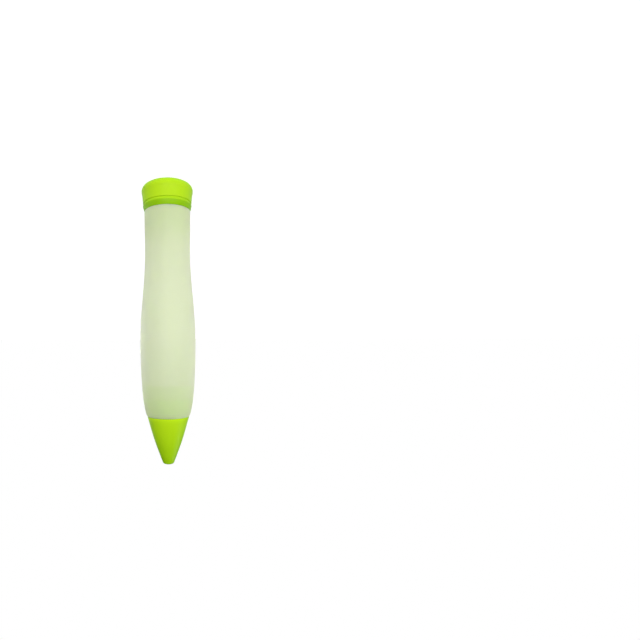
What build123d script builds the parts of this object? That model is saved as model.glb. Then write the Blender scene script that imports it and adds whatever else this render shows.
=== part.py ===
"""Refillable icing pen, in millimetres, standing nib up on its end plug.

A soft squeeze body is open at both ends. A ribbed plug closes its lower end
and a hollow cone nozzle is pushed into its upper end. All three pieces are
turned shapes about Z, and Z starts at the flat end face of the plug.
"""

import os

from build123d import *

# Lengths along the pen
cap_height = 14.1
body_length = 110.1
cone_length = 25.8

# Push fits between the silicone pieces
fit_clearance = 0.05
rib_rise = 0.4
lead_in_chamfer = 0.5

# Squeeze body, outside
neck_radius = 12.2
neck_length = 20.0
belly_radius = 14.9
belly_rise = 70.4
shoulder_inset = 1.3
shoulder_drop = 10.0
rim_radius = 11.5
body_edge_chamfer = 0.3

# Squeeze body, inside
body_wall = 1.6
collar_wall = 1.4
collar_depth = 6.0

# End plug
cap_lip = 0.1
cap_edge_chamfer = 0.2
bead_swell = 0.8
bead_shoulder = 1.0
groove_height = 10.2
groove_depth = 0.4
groove_lip = 0.35
cap_flare = 0.9
flank_hollow = 0.12
flank_tapers = 2
rim_width = 3.5
rim_rise = 3.1
rim_crown = 0.9
rim_tapers = 3
plug_insert_length = 9.0
plug_rib_count = 2
plug_wall = 2.0
end_wall = 3.5
cup_chamfer = 1.0

# Nozzle
seam_step = 0.3
cone_crown = 0.45
cone_tapers = 3
tip_radius = 3.15
tip_face_radius = 2.0
tip_depth = 0.9
tip_crown = 0.25
tip_tapers = 2
outlet_radius = 1.0
outlet_length = 4.0
funnel_rise = 4.5
sleeve_length = 17.0
guide_length = 7.0
guide_step = 0.7
sleeve_wall = 1.4
sleeve_rib_count = 2

# Heights of the seats and of the main stations, worked out from the lengths above
seat_height = cap_height
neck_height = seat_height + neck_length
belly_height = seat_height + belly_rise
rim_height = seat_height + body_length
shoulder_height = rim_height - shoulder_drop
tip_height = rim_height + cone_length

# Radii worked out from the sizes above, from the body to the pieces that follow it
shoulder_radius = belly_radius - shoulder_inset
cap_edge_radius = neck_radius + cap_lip
cap_waist_radius = cap_edge_radius + bead_swell
cap_flare_radius = cap_waist_radius + cap_flare
cap_face_radius = cap_flare_radius - rim_width
socket_radius = neck_radius - body_wall
collar_radius = rim_radius - collar_wall
plug_core_radius = socket_radius - fit_clearance - rib_rise
sleeve_radius = collar_radius - fit_clearance - rib_rise
guide_radius = sleeve_radius - guide_step
funnel_radius = guide_radius - sleeve_wall
cup_radius = plug_core_radius - plug_wall
cone_base_radius = rim_radius - seam_step


def tapered(start, end, crown, count):
    """Straight tapers from start to end, along an arc that bulges by the crown halfway."""
    arc = SagittaArc(start, end, crown, mode=Mode.PRIVATE)
    return Polyline([arc @ (step / count) for step in range(count + 1)])


def edges_at(part, radius, height):
    """Edges of a turned part that run round Z with this radius at this height."""
    rings = part.edges().filter_by(GeomType.CIRCLE)
    level = rings.filter_by_position(Axis.Z, height - fit_clearance, height + fit_clearance)
    return level.filter_by(lambda ring: abs(ring.radius - radius) < fit_clearance)


def belly_line(inset):
    """Tangent arcs up one side of the belly, from the neck to the shoulder, moved inwards by the inset."""
    neck = (neck_radius - inset, neck_height)
    middle = ((neck_radius + belly_radius) / 2 - inset, (neck_height + belly_height) / 2)
    swell = TangentArc(neck, middle, tangent=(0, 1))
    crest = TangentArc(middle, (belly_radius - inset, belly_height), tangent=swell % 1)
    return TangentArc(crest @ 1, (shoulder_radius - inset, shoulder_height), tangent=crest % 1)


# Squeeze body: a slim neck to hold, a full belly to press, and a thick collar for the nozzle
with BuildPart() as squeeze_body:
    with BuildSketch(Plane.XZ) as body_section:
        with BuildLine():
            # Outside, from the plug end up
            Line((neck_radius, seat_height), (neck_radius, neck_height))
            outer_shoulder = belly_line(0)
            TangentArc(outer_shoulder @ 1, (rim_radius, rim_height), tangent=outer_shoulder % 1)
            Line((rim_radius, rim_height), (collar_radius, rim_height))
            # Inside, with an even wall up to the collar
            Line((neck_radius, seat_height), (socket_radius, seat_height))
            Line((socket_radius, seat_height), (socket_radius, neck_height))
            inner_shoulder = belly_line(body_wall)
            Line(inner_shoulder @ 1, (collar_radius, rim_height - collar_depth))
            Line((collar_radius, rim_height - collar_depth), (collar_radius, rim_height))
        make_face()
    revolve(axis=Axis.Z)
    chamfer(edges_at(squeeze_body, neck_radius, seat_height), body_edge_chamfer)
    chamfer(edges_at(squeeze_body, rim_radius, rim_height), body_edge_chamfer)

squeeze_body.part.label = "squeeze_body"


# End plug: a flared cap with a groove and a bead, and a hollow ribbed insert that seals the body
with BuildPart() as end_plug:
    insert_end = seat_height + plug_insert_length
    flank_end = groove_height - groove_lip
    bead_height = groove_height + bead_shoulder
    with BuildSketch(Plane.XZ) as plug_section:
        with BuildLine():
            # Outside, with the groove between the flared flank and the bead
            Line((0, 0), (cap_face_radius, 0))
            tapered((cap_face_radius, 0), (cap_flare_radius, rim_rise), -rim_crown, rim_tapers)
            tapered((cap_flare_radius, rim_rise), (cap_waist_radius, flank_end), flank_hollow, flank_tapers)
            Line((cap_waist_radius, flank_end), (cap_waist_radius - groove_depth, groove_height))
            Line((cap_waist_radius - groove_depth, groove_height), (cap_waist_radius, bead_height))
            Line((cap_waist_radius, bead_height), (cap_edge_radius, seat_height))
            Line((cap_edge_radius, seat_height), (plug_core_radius, seat_height))
            Line((plug_core_radius, seat_height), (plug_core_radius, insert_end))
            Line((plug_core_radius, insert_end), (cup_radius, insert_end))
            # Inside, down the cup
            Line((cup_radius, insert_end), (cup_radius, end_wall))
            Line((cup_radius, end_wall), (0, end_wall))
            Line((0, end_wall), (0, 0))
        make_face()
    revolve(axis=Axis.Z)
    chamfer(edges_at(end_plug, cap_edge_radius, seat_height), cap_edge_chamfer)
    chamfer(edges_at(end_plug, cup_radius, end_wall), cup_chamfer)
    chamfer(edges_at(end_plug, plug_core_radius, insert_end), lead_in_chamfer)

    # Sealing ribs round the insert
    plug_rib_pitch = plug_insert_length / (plug_rib_count + 1)
    with BuildSketch(Plane.XZ) as plug_rib_sections:
        for rib in range(1, plug_rib_count + 1):
            with Locations((plug_core_radius, seat_height + rib * plug_rib_pitch)):
                RegularPolygon(rib_rise, 4)
    revolve(axis=Axis.Z)

end_plug.part.label = "end_plug"


# Nozzle: a hollow cone with a small outlet, and a stepped sleeve that seals in the collar
with BuildPart() as nozzle:
    sleeve_end = rim_height - sleeve_length
    tip_base = tip_height - tip_depth
    outlet_height = tip_height - outlet_length
    funnel_height = rim_height + funnel_rise
    with BuildSketch(Plane.XZ) as nozzle_section:
        with BuildLine():
            # Outside, from the sleeve up
            Line((funnel_radius, sleeve_end), (guide_radius, sleeve_end))
            Line((guide_radius, sleeve_end), (guide_radius, sleeve_end + guide_length))
            Line((guide_radius, sleeve_end + guide_length), (sleeve_radius, sleeve_end + guide_length))
            Line((sleeve_radius, sleeve_end + guide_length), (sleeve_radius, rim_height))
            Line((sleeve_radius, rim_height), (cone_base_radius, rim_height))
            tapered((cone_base_radius, rim_height), (tip_radius, tip_base), -cone_crown, cone_tapers)
            tapered((tip_radius, tip_base), (tip_face_radius, tip_height), -tip_crown, tip_tapers)
            Line((tip_face_radius, tip_height), (outlet_radius, tip_height))
            # Inside, from the outlet down
            Line((outlet_radius, tip_height), (outlet_radius, outlet_height))
            Line((outlet_radius, outlet_height), (funnel_radius, funnel_height))
            Line((funnel_radius, funnel_height), (funnel_radius, sleeve_end))
        make_face()
    revolve(axis=Axis.Z)
    chamfer(edges_at(nozzle, guide_radius, sleeve_end), lead_in_chamfer)

    # Sealing ribs inside the collar
    sleeve_rib_pitch = collar_depth / (sleeve_rib_count + 1)
    with BuildSketch(Plane.XZ) as sleeve_rib_sections:
        for rib in range(1, sleeve_rib_count + 1):
            with Locations((sleeve_radius, rim_height - rib * sleeve_rib_pitch)):
                RegularPolygon(rib_rise, 4)
    revolve(axis=Axis.Z)

nozzle.part.label = "nozzle"


# One file for each piece
os.makedirs("parts", exist_ok=True)
export_step(squeeze_body.part, "parts/squeeze_body.step")
export_step(end_plug.part, "parts/end_plug.step")
export_step(nozzle.part, "parts/nozzle.step")
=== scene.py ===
# %% [markdown]
# # Icing pen: turned silicone in Blender
#
# A refillable icing pen is three soft silicone mouldings that push together: a
# frosted squeeze body, a lime plug at one end and a lime cone nozzle at the
# other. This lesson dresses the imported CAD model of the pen. The CAD model is
# the frame: it says where each piece sits and how it moves, and nothing here
# changes that. Every length below is in metres.

import math

import bpy
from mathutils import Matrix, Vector
from mathutils.geometry import interpolate_bezier


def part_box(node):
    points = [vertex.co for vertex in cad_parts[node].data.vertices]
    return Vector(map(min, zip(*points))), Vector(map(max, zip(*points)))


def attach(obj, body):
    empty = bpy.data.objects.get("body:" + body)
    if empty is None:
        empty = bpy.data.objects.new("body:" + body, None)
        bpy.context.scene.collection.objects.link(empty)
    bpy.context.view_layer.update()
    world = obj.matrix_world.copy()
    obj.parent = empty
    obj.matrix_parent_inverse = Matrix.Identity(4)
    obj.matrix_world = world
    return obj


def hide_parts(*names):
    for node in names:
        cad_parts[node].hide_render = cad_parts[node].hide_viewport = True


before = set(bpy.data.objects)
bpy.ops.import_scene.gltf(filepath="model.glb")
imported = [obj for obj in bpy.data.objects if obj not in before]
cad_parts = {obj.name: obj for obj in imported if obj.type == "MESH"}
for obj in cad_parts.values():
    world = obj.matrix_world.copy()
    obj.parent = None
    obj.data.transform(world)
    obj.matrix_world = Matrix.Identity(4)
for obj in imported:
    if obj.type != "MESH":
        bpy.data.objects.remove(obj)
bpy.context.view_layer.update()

# %% [markdown]
# The three pieces are round, so all that matters is how far from the axis and
# how high each edge lies. The frame gives the heights at which the pieces meet
# and their widest radii. The other sizes are small and belong to one piece
# each, so they are named where that piece is drawn.

# %% Heights and radii from the frame
MM = 0.001
_, plug_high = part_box("end_plug")
body_low, body_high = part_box("squeeze_body")
nozzle_low, nozzle_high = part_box("nozzle")

seat_height = body_low.z
rim_height = body_high.z
tip_height = nozzle_high.z
insert_end = plug_high.z
sleeve_end = nozzle_low.z
belly_radius = body_high.x
flare_radius = plug_high.x
cone_radius = nozzle_high.x
print("seat", round(seat_height, 4), "rim", round(rim_height, 4), "tip", round(tip_height, 4))

# %% [markdown]
# An outline is a list of corners. Each corner is a radius, a height and the
# rounding that the mould gives it, because no edge of moulded silicone is
# sharp, and the light that catches on a rounded edge is what makes it read as
# soft. Long swellings are Bezier runs, drawn with Blender's own
# interpolate_bezier, which is what its curve objects use too.

# %% Draw outlines
def run(start, pull_start, pull_end, end, steps):
    """Corners without rounding along a Bezier run, both ends left out."""
    knots = [Vector(point) for point in (start, pull_start, pull_end, end)]
    points = interpolate_bezier(*knots, steps + 1)
    return [(point.x, point.y, 0) for point in points[1:-1]]


def rounded(corners, steps=6):
    """Points of an outline whose corners are rounded as asked."""
    points = []
    before_each, after_each = corners[-1:] + corners[:-1], corners[1:] + corners[:1]
    for before, corner, after in zip(before_each, corners, after_each):
        here, radius = Vector(corner[:2]), corner[2]
        if not radius:
            points.append(here)
            continue
        back, ahead = Vector(before[:2]) - here, Vector(after[:2]) - here
        half_turn = (math.pi - back.angle(ahead)) / 2
        reach = radius * math.tan(half_turn)
        start, end = here + back.normalized() * reach, here + ahead.normalized() * reach
        # The share of the reach at which a Bezier run follows a circle
        pull = 4 / 3 * math.tan(half_turn / 2) / math.tan(half_turn)
        pull_start, pull_end = start.lerp(here, pull), end.lerp(here, pull)
        points += interpolate_bezier(start, pull_start, pull_end, end, steps)
    return points


sample_corner = rounded([(0, 0, 0), (1, 0, 0.1), (1, 1, 0)])
print("one rounded corner between two sharp ones:", len(sample_corner), "points")

# %% [markdown]
# The squeeze body is a shell with an even wall: a slim neck where the fingers
# hold it, a belly to press and a shoulder that draws in to the nozzle. Inside,
# the wall thickens to a collar that grips the nozzle's sleeve. A curve with a
# Screw modifier would turn such a shell too. A list of corners is kept here,
# because the inside can then be the outside moved in by the wall, from the same
# few numbers. The two edges that meet another piece are nearly sharp, so no
# dark gap opens at the seams.

# %% Sizes of the squeeze body
mouth_radius = 12.4 * MM
waist_radius = 12.15 * MM
rim_radius = 11.5 * MM
neck_length = 20 * MM
belly_rise = 70.4 * MM
body_wall = 1.6 * MM
socket_radius, socket_depth = 10.6 * MM, 11 * MM
collar_radius, collar_depth = 10.1 * MM, 6 * MM
mouth_edge, rim_edge, bore_edge = 0.15 * MM, 0.35 * MM, 0.175 * MM
neck_ease, belly_ease, shoulder_ease = 10 * MM, 20 * MM, 12 * MM
rim_lean = (2.85 * MM, 6.8 * MM)
neck_steps, belly_steps = 8, 40

waist_height = seat_height + neck_length
belly_height = seat_height + belly_rise
collar_foot = rim_height - collar_depth
print("waist at", round(waist_height, 4), "belly at", round(belly_height, 4))


# %% Outline of the squeeze body
def body_side(inset, first, last):
    """One side of the wall from its first corner up to its last, moved in by the inset."""
    waist = (waist_radius - inset, waist_height)
    belly = (belly_radius - inset, belly_height)
    neck_pulls = (first[0], first[1] + neck_ease), (waist[0], waist[1] - neck_ease / 2)
    belly_pulls = (waist[0], waist[1] + belly_ease), (belly[0], belly[1] - belly_ease)
    shoulder_pull = (belly[0], belly[1] + shoulder_ease)
    last_pull = (last[0] + rim_lean[0], last[1] - rim_lean[1])
    return [
        *run(first, *neck_pulls, waist, neck_steps),
        (*waist, 0),
        *run(waist, *belly_pulls, belly, belly_steps),
        (*belly, 0),
        *run(belly, shoulder_pull, last_pull, last, belly_steps),
    ]


mouth, rim = (mouth_radius, seat_height), (rim_radius, rim_height)
socket, collar = (socket_radius, seat_height + socket_depth), (collar_radius, collar_foot)
body_outline = rounded(
    [
        (*mouth, mouth_edge),
        *body_side(0, mouth, rim),
        (*rim, rim_edge),
        (collar_radius, rim_height, bore_edge),
        (*collar, 0),
        *reversed(body_side(body_wall, socket, collar)),
        (*socket, 0),
        (socket_radius, seat_height, bore_edge),
    ]
)
print("body outline:", len(body_outline), "points")

# %% [markdown]
# The plug is one moulding: a cap that flares towards its flat end, a fine
# groove round it, a rounded bead, and a hollow insert that goes up into the
# body's mouth. The groove could be a loop of bump in the material, but it
# breaks the outline and catches light on its lower lip, so it is real. The cap's
# corner has a large round, and the flank is slightly hollow, which a straight
# cone would miss.

# %% Sizes of the plug
corner_reach, cap_round = 0.78 * MM, 3.4 * MM
waist_of_cap = 13.1 * MM
flank_hollow = 0.42 * MM
groove_height, groove_depth = 10.2 * MM, 0.4 * MM
groove_half, groove_edge = 0.35 * MM, 0.1 * MM
bead_inset, bead_swell = 0.3 * MM, 0.12 * MM
crest_radius, crest_rise, crest_round = 13.15 * MM, 0.95 * MM, 0.4 * MM
cap_edge_radius, cap_edge_round = 12.25 * MM, 0.25 * MM
insert_radius, insert_round = 10.15 * MM, 0.6 * MM
cup_radius, cup_round = 8.15 * MM, 0.5 * MM
cup_floor, floor_round = 3.5 * MM, 2 * MM
flank_steps, bead_steps = 12, 10
# Points at the ends of a run that a neighbour's round hides
flank_hidden, bead_hidden = 5, 2
print("groove", round(groove_height, 4), "crest of the bead", round(groove_height + crest_rise, 4))


# %% Outline of the plug
def bowed(start, end, bow, steps):
    """Corners along a run whose two pulls lie halfway, moved outwards by the bow."""
    middle = ((start[0] + end[0]) / 2 + bow, (start[1] + end[1]) / 2)
    return run(start, middle, middle, end, steps)


# The corner is drawn outside the flare, and its large round brings it in
cap_corner = (flare_radius + corner_reach, 0)
flank_end = (waist_of_cap, groove_height - groove_half)
groove_floor = waist_of_cap - groove_depth
bead_start = (waist_of_cap - bead_inset, groove_height + groove_half)
bead_crest = (crest_radius, groove_height + crest_rise)
cap_edge = (cap_edge_radius, seat_height)

flank = bowed(cap_corner, flank_end, -flank_hollow, flank_steps)[flank_hidden:]
bead = bowed(bead_crest, cap_edge, bead_swell, bead_steps)[bead_hidden:-bead_hidden]
plug_outline = rounded(
    [
        (0, 0, 0),
        (*cap_corner, cap_round),
        *flank,
        (*flank_end, groove_edge),
        (groove_floor, groove_height - groove_half / 2, groove_edge),
        (groove_floor, groove_height + groove_half / 2, groove_edge),
        (*bead_start, groove_edge),
        (*bead_crest, crest_round),
        *bead,
        (*cap_edge, cap_edge_round),
        (insert_radius, seat_height, 0),
        (insert_radius, insert_end, insert_round),
        (cup_radius, insert_end, cup_round),
        (cup_radius, cup_floor, floor_round),
        (0, cup_floor, 0),
    ]
)
print("plug outline:", len(plug_outline), "points")

# %% [markdown]
# The nozzle is a hollow cone with a slightly bowed flank and a small round
# outlet. Below the cone, a stepped sleeve reaches 17 mm down into the body. It
# is drawn in full although the body covers it, because the frosted wall lets it
# show as a faint darker band. The body's colour also paints that band in as
# painted show-through. The sleeve comes into sight when the nozzle is pulled
# out. The cone's base has a small round that catches a line of light, and the
# lime colour is left palest there as a painted highlight.

# %% Sizes of the nozzle
cone_bow = 0.67 * MM
base_lip, base_round = 0.15 * MM, 0.4 * MM
tip_radius, tip_round = 2.8 * MM, 1.15 * MM
outlet_radius, outlet_length, outlet_round = 1 * MM, 4 * MM, 0.3 * MM
funnel_radius, funnel_rise, funnel_round = 7.55 * MM, 4.5 * MM, 2 * MM
sleeve_radius, sleeve_round = 9.65 * MM, 0.3 * MM
guide_radius, guide_length = 8.95 * MM, 7 * MM
lead_in_round, mouth_round, step_round = 0.5 * MM, 0.3 * MM, 0.2 * MM
cone_steps = 24
base_hidden, tip_hidden = 1, 2

outlet_end = tip_height - outlet_length
funnel_height = rim_height + funnel_rise
guide_end = sleeve_end + guide_length
print("guide ends", round(guide_end, 4), "funnel ends", round(funnel_height, 4))

# %% Outline of the nozzle
cone_base, cone_tip = (cone_radius + base_lip, rim_height), (tip_radius, tip_height)
cone = bowed(cone_base, cone_tip, cone_bow, cone_steps)[base_hidden:-tip_hidden]
nozzle_outline = rounded(
    [
        (*cone_base, base_round),
        *cone,
        (*cone_tip, tip_round),
        (outlet_radius, tip_height, outlet_round),
        (outlet_radius, outlet_end, 0),
        (funnel_radius, funnel_height, funnel_round),
        (funnel_radius, sleeve_end, mouth_round),
        (guide_radius, sleeve_end, lead_in_round),
        (guide_radius, guide_end, step_round),
        (sleeve_radius, guide_end, sleeve_round),
        (sleeve_radius, rim_height, 0),
    ]
)
print("nozzle outline:", len(nozzle_outline), "points")

# %% [markdown]
# Each outline could be spun with bmesh, but a turned piece follows a rule, so a
# Geometry Nodes tree does it. The tree makes a flat grid with one row for each
# outline point and one column for each side. It then bends the grid: a vertex
# takes its radius and height from its row's outline point and its angle from
# its column. Merging by distance closes the seam, and closes each pole where
# the outline starts or ends on the axis.

# %% Small helpers for building node trees
def new_tree(name, inputs):
    """An empty Geometry Nodes tree with named inputs and one geometry output."""
    tree = bpy.data.node_groups.new(name, "GeometryNodeTree")
    tree.is_modifier = True
    for label, kind in inputs:
        tree.interface.new_socket(label, in_out="INPUT", socket_type="NodeSocket" + kind)
    tree.interface.new_socket("Piece", in_out="OUTPUT", socket_type="NodeSocketGeometry")
    return tree


def add(tree, kind, links=(), **settings):
    """A node with its settings, its inputs linked or set as the pairs say."""
    node = tree.nodes.new(kind)
    for key, value in settings.items():
        setattr(node, key, value)
    for socket, source in links:
        if isinstance(source, bpy.types.NodeSocket):
            tree.links.new(source, node.inputs[socket])
        else:
            node.inputs[socket].default_value = source
    return node


def math_node(tree, operation, first, second=0.0):
    """The result of one sum."""
    node = add(tree, "ShaderNodeMath", [(0, first), (1, second)], operation=operation)
    return node.outputs[0]


def finish_tree(tree, geometry, finish):
    """The last nodes of a tree: smooth shading, real instances, the material and the output."""
    smooth = add(tree, "GeometryNodeSetShadeSmooth", [("Geometry", geometry)])
    real = add(tree, "GeometryNodeRealizeInstances", [("Geometry", smooth.outputs[0])])
    inputs = [("Geometry", real.outputs[0]), ("Material", finish)]
    dressed = add(tree, "GeometryNodeSetMaterial", inputs)
    add(tree, "NodeGroupOutput", [("Piece", dressed.outputs[0])])
    print("tree", tree.name, "has", len(tree.nodes), "nodes")


# %% The tree that turns an outline round the axis
round_sides = 160
merge_distance = 0.001 * MM


def turning_tree():
    """A tree that turns an outline in X and Z round the Z axis."""
    inputs = [("Outline", "Geometry"), ("Sides", "Int"), ("Finish", "Material")]
    tree = new_tree("turn_outline", inputs)
    given = add(tree, "NodeGroupInput").outputs
    outline, sides = given["Outline"], given["Sides"]

    size = add(tree, "GeometryNodeAttributeDomainSize", [("Geometry", outline)], component="MESH")
    rows = size.outputs["Point Count"]
    columns = math_node(tree, "ADD", sides, 1)
    grid = add(tree, "GeometryNodeMeshGrid", [("Vertices X", columns), ("Vertices Y", rows)])

    index = add(tree, "GeometryNodeInputIndex").outputs["Index"]
    row = math_node(tree, "MODULO", index, rows)
    column = math_node(tree, "FLOOR", math_node(tree, "DIVIDE", index, rows))
    place = add(tree, "GeometryNodeInputPosition").outputs["Position"]
    inputs = [("Geometry", outline), ("Value", place), ("Index", row)]
    sample = add(tree, "GeometryNodeSampleIndex", inputs, data_type="FLOAT_VECTOR")
    parts = add(tree, "ShaderNodeSeparateXYZ", [("Vector", sample.outputs["Value"])])
    angle = math_node(tree, "MULTIPLY", column, math_node(tree, "DIVIDE", math.tau, sides))
    x = math_node(tree, "MULTIPLY", parts.outputs["X"], math_node(tree, "COSINE", angle))
    y = math_node(tree, "MULTIPLY", parts.outputs["X"], math_node(tree, "SINE", angle))
    bent = add(tree, "ShaderNodeCombineXYZ", [("X", x), ("Y", y), ("Z", parts.outputs["Z"])])

    inputs = [("Geometry", grid.outputs["Mesh"]), ("Position", bent.outputs[0])]
    turned = add(tree, "GeometryNodeSetPosition", inputs)
    inputs = [("Geometry", turned.outputs[0]), ("Distance", merge_distance)]
    closed = add(tree, "GeometryNodeMergeByDistance", inputs)
    finish_tree(tree, closed.outputs[0], given["Finish"])
    return tree


turn_outline = turning_tree()

# %% [markdown]
# Push-fit silicone seals with small ribs round the insert and the sleeve. They
# repeat at an even pitch, which is what instancing is for: a line of points, a
# ring on each point, and then the instances made real, because an exported
# model drops instances.

# %% The tree that stacks sealing ribs
rib_sides = 16


def rib_tree():
    """A tree that stacks rings of round section at an even pitch."""
    sizes = ("Ring radius", "Rib radius", "First height", "Pitch")
    inputs = [("Empty", "Geometry"), ("Count", "Int"), *((size, "Float") for size in sizes)]
    tree = new_tree("stack_ribs", [*inputs, ("Finish", "Material")])
    given = add(tree, "NodeGroupInput").outputs
    first = add(tree, "ShaderNodeCombineXYZ", [("Z", given["First height"])]).outputs[0]
    step = add(tree, "ShaderNodeCombineXYZ", [("Z", given["Pitch"])]).outputs[0]
    inputs = [("Count", given["Count"]), ("Start Location", first), ("Offset", step)]
    line = add(tree, "GeometryNodeMeshLine", inputs)
    inputs = [("Resolution", round_sides), ("Radius", given["Ring radius"])]
    ring = add(tree, "GeometryNodeCurvePrimitiveCircle", inputs)
    inputs = [("Resolution", rib_sides), ("Radius", given["Rib radius"])]
    section = add(tree, "GeometryNodeCurvePrimitiveCircle", inputs)
    inputs = [("Curve", ring.outputs["Curve"]), ("Profile Curve", section.outputs["Curve"])]
    rib = add(tree, "GeometryNodeCurveToMesh", inputs)
    inputs = [("Points", line.outputs["Mesh"]), ("Instance", rib.outputs["Mesh"])]
    stack = add(tree, "GeometryNodeInstanceOnPoints", inputs)
    finish_tree(tree, stack.outputs[0], given["Finish"])
    return tree


stack_ribs = rib_tree()

# %% [markdown]
# Both finishes are satin silicone, so one helper builds them. The colour drifts
# a little from place to place, as pigment does. A very fine grain in roughness
# and bump gives the skin that a blasted mould leaves. Both read Object
# coordinates, which stay fixed to the piece when a joint moves it. A colour ramp
# over the height on the pen also mixes in a painted tint. On the lime pieces it
# is painted shade and a painted highlight. On the frosted wall it is painted
# show-through of the lime parts behind it, which stays on the wall when those
# parts move. Painting vertices could do that, but a ramp stays exact however the
# mesh is cut.

# %% Noise, ranges and mixes
# A Mix node has a pair of sockets for every kind of data, so its colours go by number
MIX_FACTOR, MIX_FIRST, MIX_SECOND, MIX_RESULT = 0, 6, 7, 2


def grain(tree, coordinates, scale, detail=2.0):
    """Noise on the object's own coordinates."""
    inputs = [("Vector", coordinates), ("Scale", scale), ("Detail", detail)]
    return add(tree, "ShaderNodeTexNoise", inputs).outputs["Fac"]


def between(tree, factor, low, high, start=0.0, end=1.0):
    """A factor that goes from start to end, moved between two values."""
    limits = [("From Min", start), ("From Max", end), ("To Min", low), ("To Max", high)]
    node = add(tree, "ShaderNodeMapRange", [("Value", factor), *limits])
    return node.outputs["Result"]


def blend_colours(tree, factor, *pair):
    """Two colours mixed by a factor. Each is a socket, or red, green and blue."""
    colours = [value if isinstance(value, bpy.types.NodeSocket) else (*value, 1) for value in pair]
    inputs = [(MIX_FACTOR, factor), (MIX_FIRST, colours[0]), (MIX_SECOND, colours[1])]
    return add(tree, "ShaderNodeMix", inputs, data_type="RGBA").outputs[MIX_RESULT]


# %% A ramp over the pen's height
def along_pen(tree, place, stops):
    """A factor that follows the height on the pen, straight between stops of height and value."""
    height = add(tree, "ShaderNodeSeparateXYZ", [("Vector", place)]).outputs["Z"]
    ramp = add(tree, "ShaderNodeValToRGB", [("Fac", math_node(tree, "DIVIDE", height, tip_height))])
    points = ramp.color_ramp.elements
    # New points start halfway up, and the loop below moves each to its stop
    while len(points) < len(stops):
        points.new(0.5)
    for point, (level, value) in zip(points, stops):
        point.position = level / tip_height
        point.color = (value, value, value, 1)
    return ramp.outputs["Color"]


# %% The satin finish
skin_scale, skin_detail = 2600, 3.0
skin_relief = 0.02 * MM


def satin_material(name, colours, drift_scale, painted_tint_colour, painted_tint_stops, roughness, bump, plain):
    """Silicone: drifting colour, a painted tint of shade, highlight and show-through where the
    stops say, and a grain in roughness and bump.
    """
    material = bpy.data.materials.new(name)
    material.use_nodes = True
    tree = material.node_tree
    shader = tree.nodes["Principled BSDF"]
    place = add(tree, "ShaderNodeTexCoord").outputs["Object"]
    drift = grain(tree, place, drift_scale)
    skin = grain(tree, place, skin_scale, skin_detail)
    pale = blend_colours(tree, drift, *colours)
    # The ramp mixes in the painted tint: painted shade and highlight, and painted show-through on
    # the frosted wall
    colour = blend_colours(tree, along_pen(tree, place, painted_tint_stops), pale, painted_tint_colour)
    tree.links.new(colour, shader.inputs["Base Color"])
    tree.links.new(between(tree, skin, *roughness), shader.inputs["Roughness"])
    inputs = [("Height", skin), ("Strength", bump), ("Distance", skin_relief)]
    relief = add(tree, "ShaderNodeBump", inputs)
    tree.links.new(relief.outputs["Normal"], shader.inputs["Normal"])
    for socket, value in plain.items():
        shader.inputs[socket].default_value = value
    print("material", name, "has", len(tree.nodes), "nodes")
    return material


# %% [markdown]
# Lime silicone is opaque but not hard: light goes about a millimetre in and
# comes out again, which softens the shadow in the groove. Some subsurface does
# that. The skin of the real plug looks deeper where it turns away from the eye,
# because light then crosses more pigment. A tinted coat with a low index does
# the same, and keeps the reflections as dull as they are on silicone. The colour
# ramp paints light and shade into the colour. The bead's lower band and the
# nozzle's tip are painted deepest green as painted shade. The cone's base is
# left palest as a painted highlight.

# %% Lime silicone
lime = satin_material(
    "lime_silicone",
    colours=((0.62, 0.81, 0.021), (0.67, 0.86, 0.026)),
    drift_scale=90,
    # Painted shade: deepest on the bead's lower band and towards the nozzle's tip, with a painted
    # highlight where the cone's base is left palest
    painted_tint_colour=(0.36, 0.60, 0.006),
    painted_tint_stops=(
        (groove_height + 0.8 * MM, 0.2),
        (groove_height + 1.2 * MM, 1.0),
        (seat_height, 1.0),
        (rim_height + 0.6 * MM, 0.0),
        (rim_height + 2.2 * MM, 0.2),
        (tip_height, 0.7),
    ),
    roughness=(0.36, 0.44),
    bump=0.12,
    plain={
        "Subsurface Weight": 0.15,
        "Subsurface Radius": (1.0, 0.9, 0.2),
        "Subsurface Scale": 0.8 * MM,
        "Specular IOR Level": 0.15,
        "Coat Weight": 1.0,
        "Coat Roughness": 0.4,
        "Coat IOR": 1.1,
        "Coat Tint": (0.74, 0.86, 0.5, 1.0),
        "IOR": 1.41,
    },
)

# %% [markdown]
# The body is the same rubber with hardly any pigment. Light passes through it,
# but is scattered on the way, so the insert and the sleeve behind the wall show
# only as soft green bands. A volume would be true to that, but it is noisy and
# an exported model loses it. Rough transmission gives the same blur, and deep
# subsurface in a pale green gives the glow. The colour ramp also paints those
# green bands into the wall's own colour as painted show-through. It is deepest
# at the mouth over the insert and at the rim, fades through the waist, leaves
# the belly plain and steps up over the sleeve. This painted band stays on the
# wall when the nozzle is pulled out. A second ramp sets how much light goes
# straight through: more at the insert and at the sleeve, less in the waist and
# the belly, and least at the very rim, where the collar is thick. Both ramps
# step where the sleeve starts and where it widens, because the real wall shows
# those two edges as faint lines.

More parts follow.
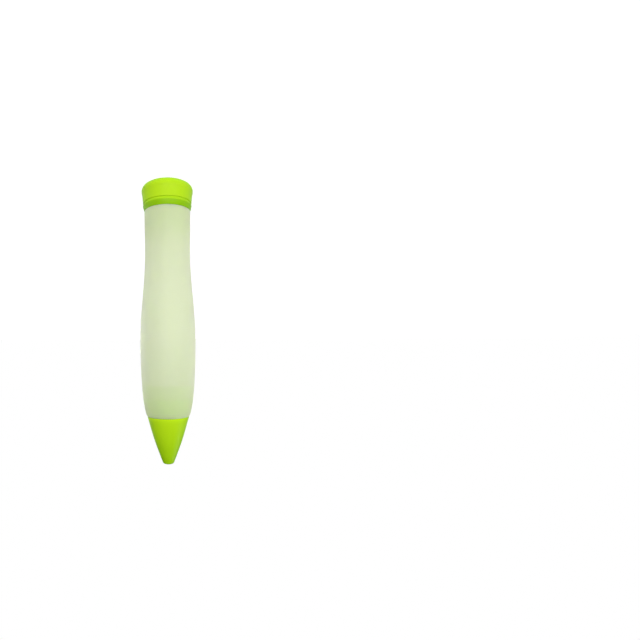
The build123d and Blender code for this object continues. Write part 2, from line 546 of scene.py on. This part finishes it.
# %% Frosted silicone
step_low, step_high = -0.3 * MM, 0.7 * MM
sleeve_step = (sleeve_end + step_low, sleeve_end + step_high)
guide_step = (guide_end + step_low, guide_end + step_high)
frosted = satin_material(
    "frosted_silicone",
    colours=((0.79, 0.91, 0.56), (0.83, 0.94, 0.61)),
    drift_scale=60,
    # Painted show-through: the green of the insert and the sleeve behind the wall, painted into its
    # colour
    painted_tint_colour=(0.74, 0.95, 0.46),
    painted_tint_stops=(
        (seat_height, 0.8),
        (insert_end, 0.7),
        (waist_height, 0.25),
        (waist_height + 15 * MM, 0.1),
        (belly_height, 0.0),
        (sleeve_step[0], 0.05),
        (sleeve_step[1], 0.35),
        (guide_step[0], 0.4),
        (guide_step[1], 0.7),
        (collar_foot, 0.7),
        (collar_foot + 1.5 * MM, 0.85),
    ),
    roughness=(0.45, 0.55),
    bump=0.1,
    plain={
        "Subsurface Weight": 1.0,
        "Subsurface Radius": (1.0, 1.0, 0.8),
        "Subsurface Scale": 5 * MM,
        "IOR": 1.41,
    },
)

# %% How clear the frosted wall is
clear_stops = (
    (seat_height, 0.3),
    (insert_end, 0.34),
    (waist_height, 0.27),
    (belly_height, 0.3),
    (sleeve_end - 10 * MM, 0.35),
    (sleeve_step[0], 0.32),
    (sleeve_step[1], 0.44),
    (guide_step[0], 0.37),
    (guide_step[1], 0.45),
    (rim_height - 2 * MM, 0.42),
    (rim_height, 0.2),
)
wall = frosted.node_tree
wall_place = add(wall, "ShaderNodeTexCoord").outputs["Object"]
clearness = along_pen(wall, wall_place, clear_stops)
wall.links.new(clearness, wall.nodes["Principled BSDF"].inputs["Transmission Weight"])
print("light passes at", len(clear_stops), "set heights")

# %% [markdown]
# Now the trees are used. The modifier's inputs are set by their identifiers,
# the evaluated result is copied into a plain mesh, and the modifier goes,
# because the frame's calls want finished meshes.

# %% Make a piece with a tree
def piece_from(name, mesh, tree, values):
    """An object whose mesh is what the tree makes of the given mesh and values."""
    thing = bpy.data.objects.new(name, mesh)
    bpy.context.scene.collection.objects.link(thing)
    modifier = thing.modifiers.new(tree.name, "NODES")
    modifier.node_group = tree
    for socket in tree.interface.items_tree:
        if socket.in_out == "INPUT" and socket.name in values:
            modifier[socket.identifier] = values[socket.name]
    graph = bpy.context.evaluated_depsgraph_get()
    made = bpy.data.meshes.new_from_object(thing.evaluated_get(graph))
    thing.modifiers.remove(modifier)
    thing.data = made
    made.name = name
    print(name, "has", len(made.polygons), "faces")
    return thing


# %% Turn the three pieces
def turn(name, outline, finish):
    """A turned piece from an outline of radius and height."""
    points = [(point.x, 0, point.y) for point in outline]
    # An outline that starts and ends on the axis stays open, any other is a loop
    if points[0][0] or points[-1][0]:
        points.append(points[0])
    mesh = bpy.data.meshes.new(name + "_outline")
    mesh.from_pydata(points, [(k, k + 1) for k in range(len(points) - 1)], [])
    return piece_from(name, mesh, turn_outline, {"Sides": round_sides, "Finish": finish})


body_shell = turn("body_shell", body_outline, frosted)
plug_shell = turn("plug_shell", plug_outline, lime)
nozzle_shell = turn("nozzle_shell", nozzle_outline, lime)

# %% [markdown]
# The ribs are seen only when the pen is taken apart. Each is a ring of round
# section sunk into the wall, so it stands 0.4 mm proud, and the tree above
# places them at even steps, clear of both ends of the fit.

# %% Sealing ribs
rib_radius = 0.6 * MM
rib_rise = 0.4 * MM
rib_count = 2


def ribs(name, wall_radius, start, length):
    """Ribs at even steps along a push fit, each standing proud of the wall by the rise."""
    pitch = length / (rib_count + 1)
    values = {
        "Count": rib_count,
        "Ring radius": wall_radius + rib_rise - rib_radius,
        "Rib radius": rib_radius,
        "First height": start + pitch,
        "Pitch": pitch,
        "Finish": lime,
    }
    return piece_from(name, bpy.data.meshes.new(name), stack_ribs, values)


plug_ribs = ribs("plug_ribs", insert_radius, seat_height, insert_end - seat_height)
sleeve_ribs = ribs("sleeve_ribs", sleeve_radius, collar_foot, rim_height - collar_foot)

# %% [markdown]
# Each piece now rides on the body that carries it, so it follows the joints,
# and the CAD solid that it stands for is hidden. The table also gives the finish
# slot each piece uses, which nothing here reads.

# %% Tie the pieces to the frame
for piece, body, node, slot in (
    (plug_shell, "plug", "end_plug", "lime_silicone"),
    (plug_ribs, "plug", "end_plug", "lime_silicone"),
    (body_shell, "tube", "squeeze_body", "frosted_silicone"),
    (nozzle_shell, "tip", "nozzle", "lime_silicone"),
    (sleeve_ribs, "tip", "nozzle", "lime_silicone"),
):
    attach(piece, body)
    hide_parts(node)
    print(piece.name, "rides on", body)

# %% [markdown]
# The photograph has a pure white ground with hardly any shadow, as on a light
# table: the ground itself glows. A white diffuse floor would need so much light
# that it would bleach the pen. So the floor is pale and gives off most of its
# own light, just enough to be white, and what it sends up brightens the plug's
# round edge and the cone's base.

# %% Floor
floor_half = 3.0
paper_grey, paper_roughness, paper_glow = 0.2, 0.9, 0.97
floor_mesh = bpy.data.meshes.new("floor")
corners = [(-floor_half, -floor_half, 0), (floor_half, -floor_half, 0)]
corners += [(floor_half, floor_half, 0), (-floor_half, floor_half, 0)]
floor_mesh.from_pydata(corners, [], [(0, 1, 2, 3)])
floor = bpy.data.objects.new("floor", floor_mesh)
bpy.context.scene.collection.objects.link(floor)
paper = bpy.data.materials.new("white_paper")
paper.use_nodes = True
sheet = paper.node_tree.nodes["Principled BSDF"]
sheet.inputs["Base Color"].default_value = (paper_grey, paper_grey, paper_grey, 1)
sheet.inputs["Roughness"].default_value = paper_roughness
sheet.inputs["Emission Color"].default_value = (1, 1, 1, 1)
sheet.inputs["Emission Strength"].default_value = paper_glow
floor_mesh.materials.append(paper)
print("floor", 2 * floor_half, "m across")

# %% [markdown]
# A soft studio surrounds the pen. The world is plain white to the camera. To
# the pen it is brighter behind, which makes the frosted wall glow, and it fades
# out overhead, which leaves the bead and the nozzle's tip deeper. A small key
# light on one side shapes the roundness, a wide fill in front keeps it gentle,
# and two weaker lights brighten the tube's left edge and the cone's right side.

# %% World
level_glow, overhead_glow, overhead_start = 0.8, 0.0, 0.6
front_glow, back_glow, glow_reach = 0.3, 2.6, 0.9

world = bpy.data.worlds.new("studio")
bpy.context.scene.world = world
world.use_nodes = True
sky = world.node_tree
seen = sky.nodes["Background"]
seen.inputs["Color"].default_value = (1, 1, 1, 1)
seen.inputs["Strength"].default_value = 1.0
toward = add(sky, "ShaderNodeTexCoord").outputs["Generated"]
direction = add(sky, "ShaderNodeSeparateXYZ", [("Vector", toward)])
rise, depth = direction.outputs["Z"], direction.outputs["Y"]
fade = between(sky, rise, level_glow, overhead_glow, 0.0, overhead_start)
fade.node.interpolation_type = "SMOOTHSTEP"
behind = between(sky, depth, front_glow, back_glow, -glow_reach, glow_reach)
strength = math_node(sky, "MULTIPLY", fade, behind)
lit = add(sky, "ShaderNodeBackground", [("Color", (1, 1, 1, 1)), ("Strength", strength)])
from_camera = add(sky, "ShaderNodeLightPath").outputs["Is Camera Ray"]
# Camera rays see the plain white, and all other rays see the lit sky
choices = [(0, from_camera), (1, lit.outputs[0]), (2, seen.outputs[0])]
either = add(sky, "ShaderNodeMixShader", choices)
sky.links.new(either.outputs[0], sky.nodes["World Output"].inputs["Surface"])
print("world", world.name, "has", len(sky.nodes), "nodes")


# %% Lights
def softbox(name, place, target, width, height, power):
    """A soft area light that looks at a point."""
    data = bpy.data.lights.new(name, "AREA")
    data.shape = "RECTANGLE"
    data.size, data.size_y, data.energy = width, height, power
    lamp = bpy.data.objects.new(name, data)
    bpy.context.scene.collection.objects.link(lamp)
    lamp.location = place
    lamp.rotation_euler = (Vector(target) - Vector(place)).to_track_quat("-Z", "Y").to_euler()
    print("light", name, "gives", power, "W")


pen_middle, pen_tip = (0, 0, tip_height / 2), (0, 0, tip_height)
softbox("key", (-0.28, -0.45, 0.04), pen_middle, width=0.06, height=0.1, power=0.7)
softbox("fill", (0.04, -0.45, 0.06), pen_middle, width=0.25, height=0.1, power=0.9)
softbox("left", (0.4, 0.25, 0.0), pen_middle, width=0.3, height=0.2, power=0.55)
softbox("low", (-0.35, 0.05, 0.45), pen_tip, width=0.2, height=0.2, power=0.55)

# %% [markdown]
# The photograph shows the pen nib down, from close by: the plug's edges bow up
# and the nozzle's seam bows down, and how far they bow gives the distance. The
# pen in the frame stands nib up, so the camera looks at it level and is rolled
# half a turn, and a trace more because the photographed pen leans a little. It
# could be aimed at the pen's middle instead, but then the pen would stand in
# the picture's middle. A lens shift puts it where the photograph has it and
# leaves upright edges upright.

# %% Camera
eye_height = 88.7 * MM
eye_distance = 212.4 * MM
pen_lean = 0.3
camera_data = bpy.data.cameras.new("camera")
camera_data.sensor_width = 36
camera_data.lens = 22.05
camera_data.shift_x = 0.2375
camera_data.shift_y = 0.047
camera_data.clip_start = 10 * MM
camera = bpy.data.objects.new("camera", camera_data)
bpy.context.scene.collection.objects.link(camera)
camera.location = (0, -eye_distance, eye_height)
camera.rotation_euler = (math.radians(90), math.radians(180 + pen_lean), 0)
bpy.context.scene.camera = camera
bpy.context.scene.view_settings.view_transform = "Standard"
print("camera", round(camera_data.lens, 2), "mm lens,", eye_distance, "m away")
